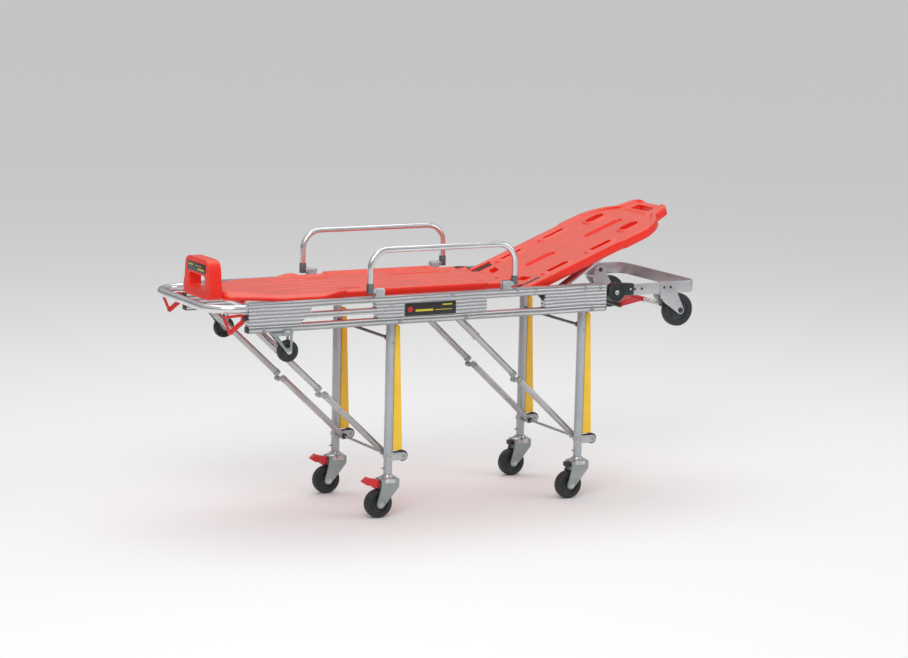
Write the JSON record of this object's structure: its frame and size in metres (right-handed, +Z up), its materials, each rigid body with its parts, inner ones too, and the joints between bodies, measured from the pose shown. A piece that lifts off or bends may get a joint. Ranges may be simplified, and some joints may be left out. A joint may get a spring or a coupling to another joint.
{
  "type": "stretcher trolley",
  "caption": "Wheeled ambulance stretcher trolley with folding leg frames, tilting back board, drop side rails and head-end loading wheels.",
  "frame": {"origin": "on the floor under the middle of the trolley, midway between its two ends and its two sides", "axes": "+X towards the patient's head end with the loading wheels, +Z up, +Y towards the trolley's left side"},
  "size_m": [1.92, 0.558, 1.028],
  "materials": {
    "satin_aluminium": "satin ribbed extrusion",
    "polished_tube": "polished round tube",
    "leg_grey": "grey anodised tube",
    "zinc_steel": "zinc plated pressing",
    "board_orange": "semi-gloss blow-moulded plastic",
    "lever_red": "red moulded or dipped",
    "guard_yellow": "smooth yellow plastic",
    "wheel_rubber": "black rubber tread on a grey hub",
    "black_plastic": "black moulded",
    "rod_black": "black oxide"
  },
  "bodies": {
    "root": {"side_frame_right": "satin_aluminium", "side_frame_left": "satin_aluminium", "lower_tube_right": "satin_aluminium", "lower_tube_left": "satin_aluminium", "foot_handle": "polished_tube", "cross_tube_foot": "polished_tube", "cross_tube_middle": "polished_tube", "cross_tube_head": "polished_tube", "leg_board": "board_orange", "foot_board": "board_orange", "small_wheel_bracket_right": "zinc_steel", "small_wheel_bracket_left": "zinc_steel"},
    "backrest": {"backrest_board": "board_orange"},
    "prop": {"backrest_prop": "polished_tube"},
    "head_carriage": {"head_frame": "satin_aluminium", "head_hub_right": "black_plastic", "head_hub_left": "black_plastic"},
    "lever": {"safety_lever": "lever_red"},
    "side_rail_right": {"side_rail_right": "polished_tube"},
    "loading_wheel_right": {"loading_wheel_right": "wheel_rubber"},
    "small_wheel_right": {"small_wheel_right": "wheel_rubber"},
    "release_handle_right": {"release_handle_right": "lever_red"},
    "side_rail_left": {"side_rail_left": "polished_tube"},
    "loading_wheel_left": {"loading_wheel_left": "wheel_rubber"},
    "small_wheel_left": {"small_wheel_left": "wheel_rubber"},
    "release_handle_left": {"release_handle_left": "lever_red"},
    "foot_legs": {"foot_leg_right": "leg_grey", "foot_leg_left": "leg_grey", "foot_guard_right": "guard_yellow", "foot_guard_left": "guard_yellow", "foot_tie_rod": "rod_black"},
    "foot_upper_brace": {"foot_upper_brace_right": "polished_tube", "foot_upper_brace_left": "polished_tube"},
    "foot_lower_brace": {"foot_lower_brace_right": "polished_tube", "foot_lower_brace_left": "polished_tube", "foot_brace_rod": "rod_black"},
    "foot_roller_right": {"foot_roller_right": "black_plastic"},
    "foot_caster_right": {"foot_caster_fork_right": "zinc_steel"},
    "foot_caster_wheel_right": {"foot_caster_wheel_right": "wheel_rubber"},
    "brake_pedal_right": {"brake_pedal_right": "lever_red"},
    "foot_roller_left": {"foot_roller_left": "black_plastic"},
    "foot_caster_left": {"foot_caster_fork_left": "zinc_steel"},
    "foot_caster_wheel_left": {"foot_caster_wheel_left": "wheel_rubber"},
    "brake_pedal_left": {"brake_pedal_left": "lever_red"},
    "head_legs": {"head_leg_right": "leg_grey", "head_leg_left": "leg_grey", "head_guard_right": "guard_yellow", "head_guard_left": "guard_yellow", "head_tie_rod": "rod_black"},
    "head_upper_brace": {"head_upper_brace_right": "polished_tube", "head_upper_brace_left": "polished_tube"},
    "head_lower_brace": {"head_lower_brace_right": "polished_tube", "head_lower_brace_left": "polished_tube", "head_brace_rod": "rod_black"},
    "head_roller_right": {"head_roller_right": "black_plastic"},
    "head_caster_right": {"head_caster_fork_right": "zinc_steel"},
    "head_caster_wheel_right": {"head_caster_wheel_right": "wheel_rubber"},
    "head_roller_left": {"head_roller_left": "black_plastic"},
    "head_caster_left": {"head_caster_fork_left": "zinc_steel"},
    "head_caster_wheel_left": {"head_caster_wheel_left": "wheel_rubber"}
  },
  "joints": [
    {"name": "backrest_tilt", "type": "hinge", "parent": "root", "child": "backrest", "pos_m": [0.274, 0, 0.77], "axis": [0, -1, 0], "range_deg": [-19, 38.8]},
    {"name": "prop_swing", "type": "hinge", "parent": "root", "child": "prop", "pos_m": [0.418, 0, 0.722], "axis": [0, -1, 0], "range_deg": [-25.4, 51.7]},
    {"name": "head_carriage_fold", "type": "hinge", "parent": "root", "child": "head_carriage", "pos_m": [0.605, 0, 0.747], "axis": [0, 1, 0], "range_deg": [0, 60]},
    {"name": "safety_lever_trip", "type": "hinge", "parent": "head_carriage", "child": "lever", "pos_m": [0.837, 0, 0.684], "axis": [0, 1, 0], "range_deg": [0, 25], "stiffness_Nm_per_rad": 0.5, "springref_deg": -17.19},
    {"name": "side_rail_right_fold", "type": "hinge", "parent": "root", "child": "side_rail_right", "pos_m": [-0.372, -0.262, 0.8], "axis": [1, 0, 0], "range_deg": [0, 105]},
    {"name": "loading_wheel_right_spin", "type": "hinge", "parent": "head_carriage", "child": "loading_wheel_right", "pos_m": [0.889, -0.231, 0.665], "axis": [0, 1, 0], "continuous": true},
    {"name": "small_wheel_right_spin", "type": "hinge", "parent": "root", "child": "small_wheel_right", "pos_m": [-0.676, -0.26, 0.6165], "axis": [0, 1, 0], "continuous": true},
    {"name": "release_handle_right_pull", "type": "hinge", "parent": "root", "child": "release_handle_right", "pos_m": [-0.834, -0.255, 0.735], "axis": [0, 1, 0], "range_deg": [-20, 0], "stiffness_Nm_per_rad": 0.6, "springref_deg": 5.73},
    {"name": "side_rail_left_fold", "type": "hinge", "parent": "root", "child": "side_rail_left", "pos_m": [-0.372, 0.262, 0.8], "axis": [-1, 0, 0], "range_deg": [0, 105]},
    {"name": "loading_wheel_left_spin", "type": "hinge", "parent": "head_carriage", "child": "loading_wheel_left", "pos_m": [0.889, 0.231, 0.665], "axis": [0, 1, 0], "continuous": true},
    {"name": "small_wheel_left_spin", "type": "hinge", "parent": "root", "child": "small_wheel_left", "pos_m": [-0.676, 0.26, 0.6165], "axis": [0, 1, 0], "continuous": true},
    {"name": "release_handle_left_pull", "type": "hinge", "parent": "root", "child": "release_handle_left", "pos_m": [-0.834, 0.255, 0.735], "axis": [0, 1, 0], "range_deg": [-20, 0], "stiffness_Nm_per_rad": 0.6, "springref_deg": 5.73},
    {"name": "foot_leg_fold", "type": "hinge", "parent": "root", "child": "foot_legs", "pos_m": [-0.261, 0, 0.698], "axis": [0, 1, 0], "range_deg": [0, 85]},
    {"name": "foot_upper_brace_fold", "type": "hinge", "parent": "root", "child": "foot_upper_brace", "pos_m": [-0.768, 0, 0.698], "axis": [0, 1, 0], "range_deg": [-45.3, 0.1]},
    {"name": "foot_lower_brace_fold", "type": "hinge", "parent": "foot_upper_brace", "child": "foot_lower_brace", "pos_m": [-0.511, 0, 0.439], "axis": [0, 1, 0], "range_deg": [-0.1, 175.8]},
    {"name": "foot_roller_right_spin", "type": "hinge", "parent": "foot_legs", "child": "foot_roller_right", "pos_m": [-0.208, -0.204, 0.212], "axis": [0, 1, 0], "continuous": true},
    {"name": "foot_caster_right_swivel", "type": "hinge", "parent": "foot_legs", "child": "foot_caster_right", "pos_m": [-0.261, -0.204, 0.137], "axis": [0, 0, 1], "continuous": true},
    {"name": "foot_caster_wheel_right_spin", "type": "hinge", "parent": "foot_caster_right", "child": "foot_caster_wheel_right", "pos_m": [-0.297, -0.204, 0.05], "axis": [0, 1, 0], "continuous": true},
    {"name": "brake_pedal_right_press", "type": "hinge", "parent": "foot_caster_right", "child": "brake_pedal_right", "pos_m": [-0.301, -0.204, 0.121], "axis": [0, 1, 0], "range_deg": [-12, 0]},
    {"name": "foot_roller_left_spin", "type": "hinge", "parent": "foot_legs", "child": "foot_roller_left", "pos_m": [-0.208, 0.204, 0.212], "axis": [0, 1, 0], "continuous": true},
    {"name": "foot_caster_left_swivel", "type": "hinge", "parent": "foot_legs", "child": "foot_caster_left", "pos_m": [-0.261, 0.204, 0.137], "axis": [0, 0, 1], "continuous": true},
    {"name": "foot_caster_wheel_left_spin", "type": "hinge", "parent": "foot_caster_left", "child": "foot_caster_wheel_left", "pos_m": [-0.297, 0.204, 0.05], "axis": [0, 1, 0], "continuous": true},
    {"name": "brake_pedal_left_press", "type": "hinge", "parent": "foot_caster_left", "child": "brake_pedal_left", "pos_m": [-0.301, 0.204, 0.121], "axis": [0, 1, 0], "range_deg": [-12, 0]},
    {"name": "head_leg_fold", "type": "hinge", "parent": "root", "child": "head_legs", "pos_m": [0.504, 0, 0.698], "axis": [0, 1, 0], "range_deg": [0, 85]},
    {"name": "head_upper_brace_fold", "type": "hinge", "parent": "root", "child": "head_upper_brace", "pos_m": [-0.003, 0, 0.698], "axis": [0, 1, 0], "range_deg": [-45.3, 0.1]},
    {"name": "head_lower_brace_fold", "type": "hinge", "parent": "head_upper_brace", "child": "head_lower_brace", "pos_m": [0.254, 0, 0.439], "axis": [0, 1, 0], "range_deg": [-0.1, 175.8]},
    {"name": "head_roller_right_spin", "type": "hinge", "parent": "head_legs", "child": "head_roller_right", "pos_m": [0.557, -0.204, 0.212], "axis": [0, 1, 0], "continuous": true},
    {"name": "head_caster_right_swivel", "type": "hinge", "parent": "head_legs", "child": "head_caster_right", "pos_m": [0.504, -0.204, 0.137], "axis": [0, 0, 1], "continuous": true},
    {"name": "head_caster_wheel_right_spin", "type": "hinge", "parent": "head_caster_right", "child": "head_caster_wheel_right", "pos_m": [0.468, -0.204, 0.05], "axis": [0, 1, 0], "continuous": true},
    {"name": "head_roller_left_spin", "type": "hinge", "parent": "head_legs", "child": "head_roller_left", "pos_m": [0.557, 0.204, 0.212], "axis": [0, 1, 0], "continuous": true},
    {"name": "head_caster_left_swivel", "type": "hinge", "parent": "head_legs", "child": "head_caster_left", "pos_m": [0.504, 0.204, 0.137], "axis": [0, 0, 1], "continuous": true},
    {"name": "head_caster_wheel_left_spin", "type": "hinge", "parent": "head_caster_left", "child": "head_caster_wheel_left", "pos_m": [0.468, 0.204, 0.05], "axis": [0, 1, 0], "continuous": true}
  ],
  "couplings": [
    {"joint": "prop_swing", "follows": "backrest_tilt", "ratio": 1.33},
    {"joint": "foot_upper_brace_fold", "follows": "foot_leg_fold", "ratio": -0.5321},
    {"joint": "foot_lower_brace_fold", "follows": "foot_leg_fold", "ratio": 2.0667},
    {"joint": "head_upper_brace_fold", "follows": "head_leg_fold", "ratio": -0.5321},
    {"joint": "head_lower_brace_fold", "follows": "head_leg_fold", "ratio": 2.0667}
  ]
}
